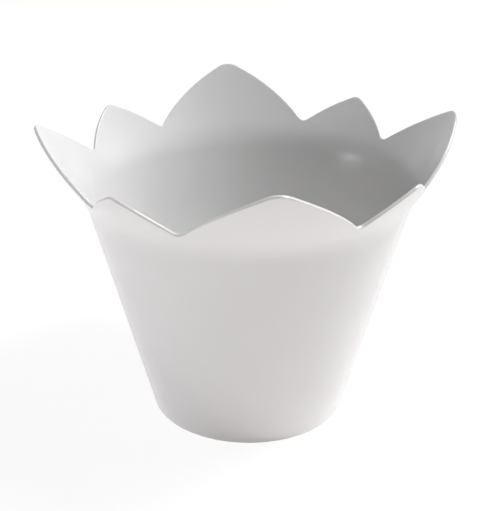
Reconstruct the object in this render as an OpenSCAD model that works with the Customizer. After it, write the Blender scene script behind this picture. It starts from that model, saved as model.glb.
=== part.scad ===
// Finger food cup with a crown of petals, moulded in one piece.
// Millimetres, +Z up. The origin is the middle of the base, on the table.
// The middle of a large petal points along +X.

/* [Body] */
// Outer diameter of the base, where the line of the side wall meets the table
base_d = 33.8; // [30:0.1:45]
// Height of the straight side wall, from the table to the start of the bend
body_h = 37.6; // [25:0.1:60]
// Lean of the side wall from the vertical, in degrees
taper = 14.95; // [5:0.05:20]
// Thickness of the side wall and of the crown
wall = 0.6; // [0.5:0.05:1.2]
// Thickness of the floor over the recess
floor_t = 0.8; // [0.6:0.05:1.5]
// Radius of the inside corner between floor and wall
floor_r = 1.6; // [0.8:0.1:4]

/* [Base] */
// Radius of the rounded outer edge of the base
foot_r = 0.4; // [0.3:0.1:1.5]
// Width of the flat ring that the cup stands on
ring_w = 1.6; // [1:0.1:3]
// Depth of the recess under the base
recess_h = 0.5; // [0.3:0.1:1.2]
// Lean of the side of the recess from the vertical, in degrees
recess_draft = 30; // [0:5:45]
// Diameter of the gate mark in the middle of the recess
gate_d = 2.4; // [1.5:0.1:4]
// Height of the gate mark
gate_h = 0.2; // [0.1:0.05:0.25]

/* [Crown] */
// Lean of the wall just above the bend, in degrees
flare = 34.4; // [25:0.1:45]
// Radius of the bend between side wall and crown
bend_r = 14.3; // [4:0.1:20]
// Radius with which the crown curls back up, from the bend to the tips
curl_r = 130; // [60:1:300]
// Length of the unbroken wall between the bend and the notches
band_h = 0.5; // [0.5:0.05:8]
// Radius of both edges of the rim
edge_r = 0.2; // [0.05:0.01:0.24]

/* [Petals] */
// Number of large petals, with a small petal between each two
petals = 4; // [3:1:6]
// Share of the ring that the large petals take
large_share = 0.607; // [0.5:0.001:0.7]
// Height of a large petal over the notches, along the wall
large_h = 11.5; // [7:0.1:16]
// Height of a small petal over the notches, along the wall
small_h = 6.75; // [4:0.05:10]
// Radius of the bowed sides of a large petal
large_bow_r = 80; // [50:1:300]
// Radius of the bowed sides of a small petal
small_bow_r = 62; // [50:1:300]
// Radius of the tip of a large petal
large_tip_r = 3.25; // [0.5:0.05:4]
// Radius of the tip of a small petal
small_tip_r = 1.95; // [0.5:0.05:3]
// Radius of the notches between the petals
notch_r = 1.4; // [0.3:0.1:2]

/* [Hidden] */

// Steps that the curved parts of the section are drawn in
foot_steps = 3;
bend_steps = 4;
flare_steps = 4;
edge_steps = 3;
floor_steps = 4;
// Columns over half a large petal and half a small one
large_cols = 12;
small_cols = 9;
// Facets of the round shapes under the base
$fn = 96;
// Overlap that keeps a cut clear of the face it starts on
cut = 0.1;

// Length of an arc
function arc_len(r, a) = r * a * PI / 180;

// Angle of an arc
function arc_angle(r, len) = len / r * 180 / PI;

// Point on a circle in the section, at the angle a from the horizontal
function arc_point(centre, r, a) = centre + r * [cos(a), sin(a)];

// Value that lies the share t of the way from a to b
function between(a, b, t) = a + (b - a) * t;

// Ends of the bend on the outer wall, and its length
bend_from = [base_d / 2 + body_h * tan(taper), body_h];
bend_to = bend_from + bend_r * [cos(taper) - cos(flare), sin(flare) - sin(taper)];
bend_len = arc_len(bend_r, flare - taper);

// Outer wall at the length s above the start of the bend: point and lean
function outer_wall(s) =
    s < bend_len
        ? let (lean = taper + arc_angle(bend_r, s))
          [bend_from + bend_r * [cos(taper) - cos(lean), sin(lean) - sin(taper)], lean]
        : let (lean = flare - arc_angle(curl_r, s - bend_len))
          [bend_to + curl_r * [cos(lean) - cos(flare), sin(flare) - sin(lean)], lean];

// Point inside the wall, at the depth d square to its outer face
function in_wall(s, d) =
    let (w = outer_wall(s))
    w[0] + d * [-cos(w[1]), sin(w[1])];

// Centre of a corner arc of radius r that touches the level z and the wall face at the depth d
function corner_centre(z, r, d) =
    [base_d / 2 + (z + r) * tan(taper) - (d + r) / cos(taper), z + r];

// Inside floor and the centres of the two corner arcs at the base
floor_z = recess_h + floor_t;
foot_centre = corner_centre(0, foot_r, 0);
floor_centre = corner_centre(floor_z, floor_r, wall);

// The crown laid flat: length round the ring at mid height of the large petals, by length up the wall
notch_s = bend_len + band_h;
crown_r = outer_wall(notch_s + large_h / 2)[0][0];
pair_a = 360 / petals;
half_pair = arc_len(crown_r, pair_a) / 2;

// Each kind of petal: half width, height, radius of the sides, radius of the tip
large = [half_pair * large_share, large_h, large_bow_r, large_tip_r];
small = [half_pair * (1 - large_share), small_h, small_bow_r, small_tip_r];

// Centre of a petal's right side, an arc from the tip point [0, h] to the notch point [w, 0]
function bow_centre(p) =
    let (w = p[0], h = p[1], r = p[2], chord = norm([w, h]))
    [w, h] / 2 - [h, w] / chord * sqrt(r * r - chord * chord / 4);

// Centre of the notch arc between the petals p and q, outside both of their sides
function notch_centre(p, q) =
    let (a = bow_centre(p),
         b = [p[0] + q[0] - bow_centre(q)[0], bow_centre(q)[1]],
         ra = p[2] + notch_r,
         rb = q[2] + notch_r,
         d = norm(b - a),
         along = (ra * ra - rb * rb + d * d) / (2 * d),
         up = sqrt(ra * ra - along * along),
         dir = (b - a) / d)
    a + along * dir + up * [-dir[1], dir[0]];

// Height and slope of an upper or lower arc at x
function on_arc(centre, r, side, x) =
    let (dx = x - centre[0], dy = side * sqrt(r * r - dx * dx))
    [centre[1] + dy, -dx / dy];

// Rim of the petal p over the notches at x from its middle, next to the petal q: height and slope
function petal_rim(p, q, x) =
    let (bow = bow_centre(p),
         notch = notch_centre(p, q),
         tip = [0, bow[1] + sqrt(pow(p[2] - p[3], 2) - bow[0] * bow[0])],
         tip_x = -bow[0] * p[3] / (p[2] - p[3]),
         notch_x = bow[0] + (notch[0] - bow[0]) * p[2] / (p[2] + notch_r))
    x < tip_x ? on_arc(tip, p[3], 1, x)
    : x < notch_x ? on_arc(bow, p[2], 1, x)
    : on_arc(notch, notch_r, -1, x);

// Steps from 0 to 1 that lie closer together at both ends
function eased(i, n) = (1 - cos(180 * i / n)) / 2;

// Column of the wall at the share u of half a petal: angle, rim length, stretch of the rim's edges
function column(middle, side, p, q, u) =
    let (rim = petal_rim(p, q, u * p[0]),
         s = notch_s + rim[0],
         slope = rim[1] * crown_r / outer_wall(s)[0][0])
    [middle + side * arc_angle(crown_r, u * p[0]), s, sqrt(1 + slope * slope)];

// Columns from the middle of one large petal to the middle of the next
pair_columns = [
    for (i = [0:large_cols - 1]) column(0, 1, large, small, eased(i, large_cols)),
    for (i = [0:small_cols - 1]) column(pair_a / 2, -1, small, large, 1 - eased(i, small_cols)),
    for (i = [0:small_cols - 1]) column(pair_a / 2, 1, small, large, eased(i, small_cols)),
    for (i = [0:large_cols - 1]) column(pair_a, -1, large, small, 1 - eased(i, large_cols))
];

// Section of the cup at a column, from the base up the outside, over the rim and down to the floor.
// The edges of the rim are round when cut square to the rim, so a sloping rim stretches them up the wall.
function section(s_rim, stretch) =
    let (round_s = edge_r * stretch, s_edge = s_rim - round_s)
    [
        for (i = [0:foot_steps])
            arc_point(foot_centre, foot_r, between(-90, -taper, i / foot_steps)),
        for (i = [0:bend_steps])
            in_wall(between(0, bend_len, i / bend_steps), 0),
        for (i = [1:flare_steps])
            in_wall(between(bend_len, s_edge, i / flare_steps), 0),
        for (i = [1:edge_steps])
            let (a = 90 * i / edge_steps)
            in_wall(s_edge + round_s * sin(a), edge_r * (1 - cos(a))),
        for (i = [0:edge_steps])
            let (a = 90 * i / edge_steps)
            in_wall(s_edge + round_s * cos(a), wall - edge_r * (1 - sin(a))),
        for (i = [1:flare_steps])
            in_wall(between(s_edge, bend_len, i / flare_steps), wall),
        for (i = [1:bend_steps])
            in_wall(between(bend_len, 0, i / bend_steps), wall),
        for (i = [0:floor_steps])
            arc_point(floor_centre, floor_r, between(-taper, -90, i / floor_steps))
    ];

// Base, side wall and crown as one closed skin over all the columns
module shell() {
    sections = [
        for (k = [0:petals - 1], c = pair_columns)
            let (a = c[0] + k * pair_a)
            [for (q = section(c[1], c[2])) [q[0] * cos(a), q[0] * sin(a), q[1]]]
    ];
    n = len(sections);
    m = len(sections[0]);
    points = [for (column = sections, q = column) q];
    under_base = [for (k = [0:n - 1]) k * m];
    inside_floor = [for (k = [n - 1:-1:0]) k * m + m - 1];
    sides = [
        for (k = [0:n - 1], i = [0:m - 2])
            let (this = k * m + i, next = (k + 1) % n * m + i)
            [this, this + 1, next + 1, next]
    ];
    polyhedron(points, concat([under_base, inside_floor], sides));
}

// Recess inside the standing ring, with the gate mark left standing in its middle
module recess() {
    mouth_r = foot_centre[0] - ring_w;
    roof_r = mouth_r - recess_h * tan(recess_draft);
    difference() {
        union() {
            cylinder(h = recess_h, r1 = mouth_r, r2 = roof_r);
            translate([0, 0, -cut])
                cylinder(h = cut, r = mouth_r);
        }
        translate([0, 0, recess_h - gate_h])
            cylinder(h = gate_h + cut, d = gate_d);
    }
}

module cup() {
    color([0.95, 0.95, 0.94])
        difference() {
            shell();
            recess();
        }
}

cup();
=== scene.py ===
# Finger food cup with a petal rim, standing on a pale table in soft studio light
import math

import bpy
import numpy as np
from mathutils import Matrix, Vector


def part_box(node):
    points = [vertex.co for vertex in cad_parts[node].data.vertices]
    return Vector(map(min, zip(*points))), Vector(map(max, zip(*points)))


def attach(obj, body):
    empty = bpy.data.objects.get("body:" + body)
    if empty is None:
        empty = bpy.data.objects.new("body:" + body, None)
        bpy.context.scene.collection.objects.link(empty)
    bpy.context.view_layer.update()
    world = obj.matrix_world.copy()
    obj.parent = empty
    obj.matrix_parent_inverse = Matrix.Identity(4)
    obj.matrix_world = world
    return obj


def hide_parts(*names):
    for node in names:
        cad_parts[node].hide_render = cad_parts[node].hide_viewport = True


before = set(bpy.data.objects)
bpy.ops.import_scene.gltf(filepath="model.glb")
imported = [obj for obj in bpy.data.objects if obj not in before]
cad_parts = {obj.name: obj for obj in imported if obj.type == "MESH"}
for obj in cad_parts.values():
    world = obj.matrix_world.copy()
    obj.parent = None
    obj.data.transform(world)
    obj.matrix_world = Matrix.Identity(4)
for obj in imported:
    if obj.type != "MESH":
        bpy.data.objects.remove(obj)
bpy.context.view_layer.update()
cadBoxLow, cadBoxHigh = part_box("cup")
print("frame loaded, cup", [round((b - a) * 1000, 2) for a, b in zip(cadBoxLow, cadBoxHigh)], "mm")


# Small tools

# Metres in a millimetre
mm = 0.001


def linearColour(hexColour):
    # sRGB hex to linear RGBA: below 0.04045 divide by 12.92, above it ((c + 0.055) / 1.055) to the power 2.4
    c = np.array([int(hexColour[i:i + 2], 16) for i in (1, 3, 5)]) / 255
    linear = np.where(c <= 0.04045, c / 12.92, ((c + 0.055) / 1.055) ** 2.4)
    return (*linear.tolist(), 1.0)


def addNode(tree, kind, settings=None, inputs=None, links=None):
    # One node with its settings, its input values and its links: {input name: (other node, output name)}
    node = tree.nodes.new(kind)
    for name, value in (settings or {}).items():
        setattr(node, name, value)
    for name, value in (inputs or {}).items():
        node.inputs[name].default_value = value
    for name, (other, output) in (links or {}).items():
        tree.links.new(other.outputs[output], node.inputs[name])
    return node


def newMaterial(name):
    material = bpy.data.materials.new(name)
    material.use_nodes = True
    material.node_tree.nodes.clear()
    return material, material.node_tree


def lookAt(item, target):
    item.rotation_mode = "QUATERNION"
    item.rotation_quaternion = (Vector(target) - item.location).to_track_quat("-Z", "Y")


def aroundPoint(centre, azimuth, elevation, distance):
    # Azimuth 0 is in front of the cup, on the side of -Y, and 90 is on its right, on the side of +X
    a, e = math.radians(azimuth), math.radians(elevation)
    away = Vector((math.sin(a) * math.cos(e), -math.cos(a) * math.cos(e), math.sin(e)))
    return Vector(centre) + away * distance


# The cup's form, in millimetres and degrees, as it is moulded

cup = {
    "baseDiameter": 33.8,       # where the line of the side wall meets the table
    "bodyHeight": 37.6,         # up to the start of the bend
    "taper": 14.95,             # lean of the side wall
    "wall": 0.6,
    "floor": 0.8,
    "floorRadius": 1.6,         # inside corner between floor and wall
    "footRadius": 0.4,          # outer edge of the base
    "ringWidth": 1.6,           # what the cup stands on
    "recess": 0.5,              # depth of the hollow under the base
    "recessDraft": 30.0,
    "gateDiameter": 2.4,        # small disc where the plastic ran in
    "gateHeight": 0.2,
    "softEdge": 0.12,           # radius of the standing edge and, in shares of it, of the edges under the base
    "gateEdgeShare": 0.8,
    "recessEdgeShare": 2.0,
    "flare": 34.4,              # lean of the crown above the bend
    "bendRadius": 14.3,
    "curlRadius": 130.0,        # the crown curls slowly back up
    "band": 0.5,                # unbroken wall between bend and notches
    "rimRadius": 0.2,           # both edges of the rim
    "petals": 4,                # large ones, with a small one between each two
    "largeShare": 0.607,        # of the ring
    "largeHeight": 11.5,
    "smallHeight": 6.75,
    "largeBow": 80.0,           # radius of the petals' sides
    "smallBow": 62.0,
    "largeTip": 3.25,
    "smallTip": 1.95,
    "notch": 1.4,
    "largeColumns": 44,         # columns of the mesh over half a petal
    "smallColumns": 34,
    "bendRows": 8,              # rows of the mesh over the bend, the crown and each rounded edge of the rim
    "crownRows": 22,
    "rimRows": 6,
    "edgeSteps": 5,             # steps of the small arcs at the base, and of the arc round the floor
    "floorSteps": 12,
    "rowSpacing": 6,            # longest distance between rows on the straight stretches
}


def roundedPath(points, radii, steps):
    # A polyline in the section with each inner corner replaced by an arc that touches both of its sides
    path = [np.array(points[0])[None]]
    for before, corner, after, radius in zip(points, points[1:], points[2:], radii):
        corner = np.array(corner)
        into, out = np.array(before) - corner, np.array(after) - corner
        into, out = into / np.linalg.norm(into), out / np.linalg.norm(out)
        half = math.acos(np.clip(into @ out, -1, 1)) / 2
        middle = (into + out) / np.linalg.norm(into + out)
        centre = corner + middle * radius / math.sin(half)
        start = corner + into * radius / math.tan(half) - centre
        end = corner + out * radius / math.tan(half) - centre
        turn = math.pi - 2 * half
        t = np.linspace(0, 1, steps + 1)[:, None]
        path.append(centre + (np.sin((1 - t) * turn) * start + np.sin(t * turn) * end) / math.sin(turn))
    path.append(np.array(points[-1])[None])
    return np.concatenate(path)


def wallAt(s, depth):
    # The outer wall leans by the taper up to s = 0, bends with the bend radius to the flare, and then curls back with
    # the curl radius. A point at the depth lies that far inside, square to the outer face. Returns radius and height.
    taper, flare = math.radians(cup["taper"]), math.radians(cup["flare"])
    bend, curl = cup["bendRadius"], cup["curlRadius"]
    bendLength = bend * (flare - taper)
    lean = np.where(s < bendLength, taper + s / bend, flare - (s - bendLength) / curl)
    startR = cup["baseDiameter"] / 2 + cup["bodyHeight"] * math.tan(taper)
    endR = startR + bend * (math.cos(taper) - math.cos(flare))
    endZ = cup["bodyHeight"] + bend * (math.sin(flare) - math.sin(taper))
    bendR = startR + bend * (math.cos(taper) - np.cos(lean))
    bendZ = cup["bodyHeight"] + bend * (np.sin(lean) - math.sin(taper))
    curlR = endR + curl * (np.cos(lean) - math.cos(flare))
    curlZ = endZ + curl * (math.sin(flare) - np.sin(lean))
    r = np.where(s < bendLength, bendR, curlR) - depth * np.cos(lean)
    z = np.where(s < bendLength, bendZ, curlZ) + depth * np.sin(lean)
    return r, z


def bowCentre(width, height, radius):
    # Centre of the arc from the tip point (0, height) to the notch point (width, 0) that bows outwards
    chord = math.hypot(width, height)
    reach = math.sqrt(radius ** 2 - chord ** 2 / 4) / chord
    return np.array([width / 2 - height * reach, height / 2 - width * reach])


def petalRim(this, other, x):
    # Height and slope of the rim at x from the petal's middle: tip arc, bowed side, then the notch arc, which touches
    # the side of this petal and of the next. On each arc the slope is minus dx over dy from its centre.
    bow = bowCentre(this["width"], this["height"], this["bow"])
    far = bowCentre(other["width"], other["height"], other["bow"])
    far = np.array([this["width"] + other["width"] - far[0], far[1]])
    reachA, reachB = this["bow"] + cup["notch"], other["bow"] + cup["notch"]
    apart = np.linalg.norm(far - bow)
    along = (reachA ** 2 - reachB ** 2 + apart ** 2) / (2 * apart)
    up = math.sqrt(reachA ** 2 - along ** 2)
    way = (far - bow) / apart
    notch = bow + along * way + up * np.array([-way[1], way[0]])
    tip = np.array([0, bow[1] + math.sqrt((this["bow"] - this["tip"]) ** 2 - bow[0] ** 2)])
    tipEnd = -bow[0] * this["tip"] / (this["bow"] - this["tip"])
    notchStart = bow[0] + (notch[0] - bow[0]) * this["bow"] / reachA
    zones = [x < tipEnd, x < notchStart]
    centreX = np.select(zones, [tip[0], bow[0]], notch[0])
    centreY = np.select(zones, [tip[1], bow[1]], notch[1])
    radius = np.select(zones, [this["tip"], this["bow"]], cup["notch"])
    side = np.select(zones, [1, 1], -1)
    dy = side * np.sqrt(radius ** 2 - (x - centreX) ** 2)
    return centreY + dy, -(x - centreX) / dy


def rimColumns():
    # Angle, wall length up to the rim and slope of the rim for each column round the cup, and the length of the bend.
    # The columns lie closer together at the tips and notches: the place of column i of n is (1 - cos(180 i / n)) / 2.
    bendLength = cup["bendRadius"] * math.radians(cup["flare"] - cup["taper"])
    notchS = bendLength + cup["band"]
    crownR = float(wallAt(np.array(notchS + cup["largeHeight"] / 2), 0)[0])
    pairAngle = 2 * math.pi / cup["petals"]
    halfPair = crownR * pairAngle / 2
    large = {"width": halfPair * cup["largeShare"], "height": cup["largeHeight"],
             "bow": cup["largeBow"], "tip": cup["largeTip"]}
    small = {"width": halfPair * (1 - cup["largeShare"]), "height": cup["smallHeight"],
             "bow": cup["smallBow"], "tip": cup["smallTip"]}
    angles, lengths, slopes = [], [], []
    for middle, side, this, other, count in (
        (0, 1, large, small, cup["largeColumns"]),
        (pairAngle / 2, -1, small, large, cup["smallColumns"]),
        (pairAngle / 2, 1, small, large, cup["smallColumns"]),
        (pairAngle, -1, large, small, cup["largeColumns"]),
    ):
        share = (1 - np.cos(np.pi * np.arange(count) / count)) / 2
        x = this["width"] * (share if side > 0 else 1 - share)
        height, slope = petalRim(this, other, x)
        angles.append(middle + side * x / crownR)
        lengths.append(notchS + height)
        slopes.append(slope * crownR / wallAt(lengths[-1], 0)[0])
    angles, lengths, slopes = map(np.concatenate, (angles, lengths, slopes))
    turns = pairAngle * np.arange(cup["petals"])[:, None]
    return (turns + angles).ravel(), np.tile(lengths, cup["petals"]), np.tile(slopes, cup["petals"]), bendLength


def cupSurface():
    # A grid of columns round the cup and rows along its section, from the middle of the underside up the outside,
    # over the rim and down to the middle of the floor. The rim's edges are round when cut square to the rim, so their
    # length up the wall is the radius times the square root of (1 + slope squared).
    angle, rimS, slope, bendLength = rimColumns()
    edge, wall = cup["rimRadius"], cup["wall"]
    edgeS = edge * np.sqrt(1 + slope ** 2)
    startS = rimS - edgeS
    taper = math.radians(cup["taper"])
    tanTaper, cosTaper = math.tan(taper), math.cos(taper)
    baseR = cup["baseDiameter"] / 2
    foot = baseR + cup["footRadius"] * (tanTaper - 1 / cosTaper)
    mouthR = foot - cup["ringWidth"]
    roofR = mouthR - cup["recess"] * math.tan(math.radians(cup["recessDraft"]))
    gateR = cup["gateDiameter"] / 2
    soft = cup["softEdge"]
    under = roundedPath(
        [(0, cup["recess"] - cup["gateHeight"]), (gateR, cup["recess"] - cup["gateHeight"]), (gateR, cup["recess"]),
         (roofR, cup["recess"]), (mouthR, 0), (baseR, 0), (baseR + cup["bodyHeight"] * tanTaper, cup["bodyHeight"])],
        [soft * cup["gateEdgeShare"], soft * cup["gateEdgeShare"], soft * cup["recessEdgeShare"], soft,
         cup["footRadius"]], cup["edgeSteps"])
    floorZ = cup["recess"] + cup["floor"]
    insideR = baseR - wall / cosTaper
    topZ = cup["bodyHeight"] + wall * math.sin(taper)
    inside = roundedPath(
        [(insideR + topZ * tanTaper, topZ), (insideR + floorZ * tanTaper, floorZ), (0, floorZ)],
        [cup["floorRadius"]], cup["floorSteps"])

    def along(start, end, count, depth):
        # Rows that share out the way from start to end, for each column
        t = np.linspace(0, 1, count + 1)[1:, None]
        return wallAt(start + (end - start) * t, depth)

    def flatRows(path):
        # Rows that are the same at every column, with the long straight stretches cut up
        rows = [path[:1]]
        for a, b in zip(path[:-1], path[1:]):
            pieces = 1 + int(np.linalg.norm(b - a) // cup["rowSpacing"])
            rows.append(a + (b - a) * np.linspace(0, 1, pieces + 1)[1:, None])
        rows = np.concatenate(rows)
        return [np.repeat(rows[:, i:i + 1], len(angle), axis=1) for i in (0, 1)]

    zero = np.zeros_like(rimS)
    bendRows, crownRows = cup["bendRows"], cup["crownRows"]
    turn = np.linspace(0, np.pi / 2, cup["rimRows"] + 1)[:, None]
    blocks = [
        flatRows(under),
        along(zero, zero + bendLength, bendRows, 0),
        along(zero + bendLength, startS, crownRows, 0),
        wallAt(startS + edgeS * np.sin(turn[1:]), edge * (1 - np.cos(turn[1:]))),
        wallAt(startS + edgeS * np.cos(turn), wall - edge * (1 - np.sin(turn))),
        along(startS, zero + bendLength, crownRows, wall),
        along(zero + bendLength, zero, bendRows, wall),
        flatRows(inside[1:]),
    ]
    r = np.concatenate([block[0] for block in blocks])[1:-1]
    z = np.concatenate([block[1] for block in blocks])[1:-1]
    grid = np.stack([r * np.cos(angle), r * np.sin(angle), z], axis=-1) * mm
    return grid, under[0, 1] * mm, floorZ * mm


def closedMesh(name, grid, lowPole, highPole):
    # Quads between neighbouring rows and columns, wrapped round, and a fan of triangles at each pole
    rows, columns = grid.shape[:2]
    index = np.arange(rows * columns).reshape(rows, columns)
    here, there = index, np.roll(index, -1, axis=1)
    quads = np.stack([here[:-1], there[:-1], there[1:], here[1:]], axis=-1).reshape(-1, 4)
    low, high = rows * columns, rows * columns + 1
    lowFan = np.stack([there[0], here[0], np.full(columns, low)], axis=-1)
    highFan = np.stack([here[-1], there[-1], np.full(columns, high)], axis=-1)
    points = np.concatenate([grid.reshape(-1, 3), [[0, 0, lowPole], [0, 0, highPole]]])
    mesh = bpy.data.meshes.new(name)
    mesh.from_pydata(points.tolist(), [], quads.tolist() + lowFan.tolist() + highFan.tolist())
    mesh.polygons.foreach_set("use_smooth", np.ones(len(mesh.polygons), dtype=bool))
    mesh.update()
    piece = bpy.data.objects.new(name, mesh)
    bpy.context.scene.collection.objects.link(piece)
    return piece


cupPiece = closedMesh("cupShell", *cupSurface())
print("cup surface made,", len(cupPiece.data.polygons), "faces")


# Polystyrene, injection moulded in a polished mould: white all through, a clear gloss with a faint waviness in what
# it mirrors, and a slight glow where the wall is thin

polystyrene = {
    "colour": "#E1E1E1",
    "shade": "#DEDEDE",         # where the pigment lies a little thinner
    "roughness": (0.18, 0.26),
    "ior": 1.59,
    "glow": 0.08,
    "glowDepth": 0.0012,        # metres that light travels in the wall
    "glowColour": (1.0, 0.85, 0.75),    # red light goes farthest
    "waveSize": 9.0,            # mm between the soft waves of the surface
    "waveHeight": 0.012,        # mm
    "waveDetail": 1.0,          # octaves of the noise, and how much of each is in the next
    "waveFade": 0.4,
    "grainSize": 0.35,          # mm between the polishing marks of the mould, coarser than real so that they show
    "grainHeight": 0.0006,
    "grainDetail": 3.0,
    "grainFade": 0.6,
    "grainSpan": (0.3, 0.7),    # low and high end of the grain noise, spread over the roughness
}


def polystyreneMaterial():
    material, tree = newMaterial("glossMouldedPolystyrene")
    place = addNode(tree, "ShaderNodeTexCoord")
    waves = addNode(tree, "ShaderNodeTexNoise", None,
                    {"Scale": 1 / (polystyrene["waveSize"] * mm), "Detail": polystyrene["waveDetail"],
                     "Roughness": polystyrene["waveFade"]},
                    {"Vector": (place, "Object")})
    grain = addNode(tree, "ShaderNodeTexNoise", None,
                    {"Scale": 1 / (polystyrene["grainSize"] * mm), "Detail": polystyrene["grainDetail"],
                     "Roughness": polystyrene["grainFade"]},
                    {"Vector": (place, "Object")})
    colour = addNode(tree, "ShaderNodeMix", {"data_type": "RGBA"}, None, {"Factor": (waves, "Fac")})
    colour.inputs["A"].default_value = linearColour(polystyrene["shade"])
    colour.inputs["B"].default_value = linearColour(polystyrene["colour"])
    (low, high), (smooth, rough) = polystyrene["grainSpan"], polystyrene["roughness"]
    gloss = addNode(tree, "ShaderNodeMapRange", None,
                    {"From Min": low, "From Max": high, "To Min": smooth, "To Max": rough}, {"Value": (grain, "Fac")})
    waveBump = addNode(tree, "ShaderNodeBump", None,
                       {"Strength": 1.0, "Distance": polystyrene["waveHeight"] * mm}, {"Height": (waves, "Fac")})
    grainBump = addNode(tree, "ShaderNodeBump", None,
                        {"Strength": 1.0, "Distance": polystyrene["grainHeight"] * mm},
                        {"Height": (grain, "Fac"), "Normal": (waveBump, "Normal")})
    shader = addNode(tree, "ShaderNodeBsdfPrincipled", {"subsurface_method": "RANDOM_WALK"},
                     {"IOR": polystyrene["ior"], "Subsurface Weight": polystyrene["glow"],
                      "Subsurface Radius": polystyrene["glowColour"], "Subsurface Scale": polystyrene["glowDepth"]},
                     {"Base Color": (colour, "Result"), "Roughness": (gloss, "Result"),
                      "Normal": (grainBump, "Normal")})
    addNode(tree, "ShaderNodeOutputMaterial", None, None, {"Surface": (shader, "BSDF")})
    return material


cupPiece.data.materials.append(polystyreneMaterial())
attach(cupPiece, "root")
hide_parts("cup")
print("cup finished in white polystyrene")


# Table, light and camera

studio = {
    "floorSize": 6.0,
    "floorColour": "#F4F3F2",
    "floorLift": 0.88,          # share of plain white that the camera sees in the floor
    "worldColour": "#FFFFFF",
    "worldStrength": 0.025,
    "tableLight": {"height": 1.2, "size": 1.5, "power": 9.8, "colour": "#FFF4F7"},
    "lampAim": (0, 0, 0.03),
    "lampDistance": 0.9,
    "lamps": [
        {"name": "keySpot", "azimuth": 94, "elevation": 58, "wide": 0.28, "high": 0.28, "power": 7.4,
         "colour": "#FFFFFF", "mirrored": True},
        {"name": "sideSoftbox", "azimuth": 104, "elevation": 20, "wide": 0.5, "high": 0.4, "power": 2.6,
         "colour": "#FFFFFF", "mirrored": False},
        {"name": "leftSoftbox", "azimuth": -90, "elevation": 5, "wide": 0.7, "high": 0.22, "power": 2.6,
         "colour": "#FAFCFF", "mirrored": True},
    ],
}
cameraPlace = {
    "azimuth": -6.865,          # of the view, seen from above
    "elevation": 22.87,
    "distance": 0.1983,
    "centreHeight": 0.0331,     # the point that the camera circles round
    "aimHeight": 0.02729,
    "aimSide": -0.0015,
    "lens": 81.74,
    "clipStart": 0.01,
}


def whiteForCamera(tree, shader, white, factor):
    # Shows plain white, in the share given, to the camera, in mirrors and through glass. All else gets the shader.
    path = addNode(tree, "ShaderNodeLightPath")
    first = addNode(tree, "ShaderNodeMath", {"operation": "MAXIMUM"}, None,
                    {0: (path, "Is Camera Ray"), 1: (path, "Is Glossy Ray")})
    seen = addNode(tree, "ShaderNodeMath", {"operation": "MAXIMUM"}, None,
                   {0: (first, 0), 1: (path, "Is Transmission Ray")})
    share = addNode(tree, "ShaderNodeMath", {"operation": "MULTIPLY"}, {1: factor}, {0: (seen, 0)})
    return addNode(tree, "ShaderNodeMixShader", None, None, {0: (share, 0), 1: (shader, 0), 2: (white, 0)})


def makeFloor():
    half = studio["floorSize"] / 2
    corners = [(-half, -half, 0), (half, -half, 0), (half, half, 0), (-half, half, 0)]
    mesh = bpy.data.meshes.new("floor")
    mesh.from_pydata(corners, [], [(0, 1, 2, 3)])
    floor = bpy.data.objects.new("floor", mesh)
    bpy.context.scene.collection.objects.link(floor)
    material, tree = newMaterial("paleTable")
    matt = addNode(tree, "ShaderNodeBsdfDiffuse", None, {"Color": linearColour(studio["floorColour"])})
    white = addNode(tree, "ShaderNodeEmission", None, {"Strength": 1.0})
    mix = whiteForCamera(tree, matt, white, studio["floorLift"])
    addNode(tree, "ShaderNodeOutputMaterial", None, None, {"Surface": (mix, 0)})
    mesh.materials.append(material)
    return floor


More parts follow.
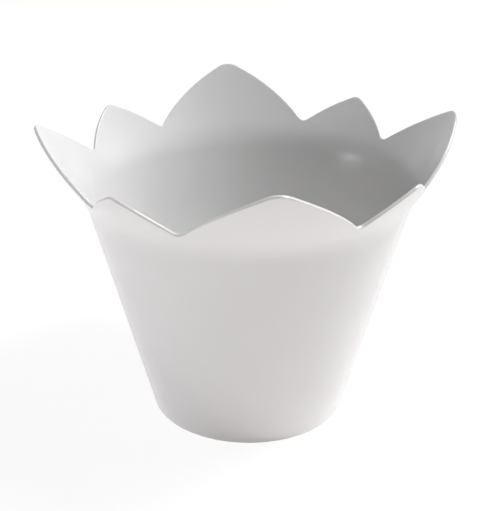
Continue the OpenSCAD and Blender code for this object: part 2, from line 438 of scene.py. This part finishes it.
def makeWorld():
    world = bpy.data.worlds.new("studio")
    bpy.context.scene.world = world
    world.use_nodes = True
    tree = world.node_tree
    tree.nodes.clear()
    room = addNode(tree, "ShaderNodeBackground", None,
                   {"Color": linearColour(studio["worldColour"]), "Strength": studio["worldStrength"]})
    white = addNode(tree, "ShaderNodeBackground", None, {"Color": (1, 1, 1, 1), "Strength": 1.0})
    mix = whiteForCamera(tree, room, white, 1.0)
    addNode(tree, "ShaderNodeOutputWorld", None, None, {"Surface": (mix, 0)})


def addLamp(name, place, target, wide, high, power, colour, mirrored):
    # A lamp that isn't mirrored stays out of the gloss, as behind a polarising filter
    light = bpy.data.lights.new(name, "AREA")
    light.shape = "ELLIPSE"
    light.size, light.size_y = wide, high
    light.energy = power
    light.color = linearColour(colour)[:3]
    lamp = bpy.data.objects.new(name, light)
    lamp.location = place
    lamp.visible_glossy = mirrored
    lookAt(lamp, target)
    bpy.context.scene.collection.objects.link(lamp)
    return lamp


def makeLamps(floor):
    aim = studio["lampAim"]
    for lamp in studio["lamps"]:
        place = aroundPoint(aim, lamp["azimuth"], lamp["elevation"], studio["lampDistance"])
        addLamp(lamp["name"], place, aim, lamp["wide"], lamp["high"], lamp["power"], lamp["colour"], lamp["mirrored"])
    # The lamp over the table leaves the cup out: it lights the table alone, which throws its light up on the cup
    table = studio["tableLight"]
    lamp = addLamp("tableLight", (0, 0, table["height"]), (0, 0, 0), table["size"], table["size"], table["power"],
                   table["colour"], True)
    tableOnly = bpy.data.collections.new("tableOnly")
    tableOnly.objects.link(floor)
    lamp.light_linking.receiver_collection = tableOnly
    lamp.light_linking.blocker_collection = tableOnly


def makeCamera():
    camera = bpy.data.cameras.new("camera")
    camera.lens = cameraPlace["lens"]
    camera.clip_start = cameraPlace["clipStart"]
    item = bpy.data.objects.new("camera", camera)
    centre = (0, 0, cameraPlace["centreHeight"])
    item.location = aroundPoint(centre, cameraPlace["azimuth"], cameraPlace["elevation"], cameraPlace["distance"])
    side = aroundPoint((0, 0, 0), cameraPlace["azimuth"] + 90, 0, cameraPlace["aimSide"])
    lookAt(item, side + Vector((0, 0, cameraPlace["aimHeight"])))
    bpy.context.scene.collection.objects.link(item)
    bpy.context.scene.camera = item


floor = makeFloor()
makeWorld()
makeLamps(floor)
makeCamera()
bpy.context.scene.view_settings.view_transform = "Standard"
print("table, lamps and camera placed")
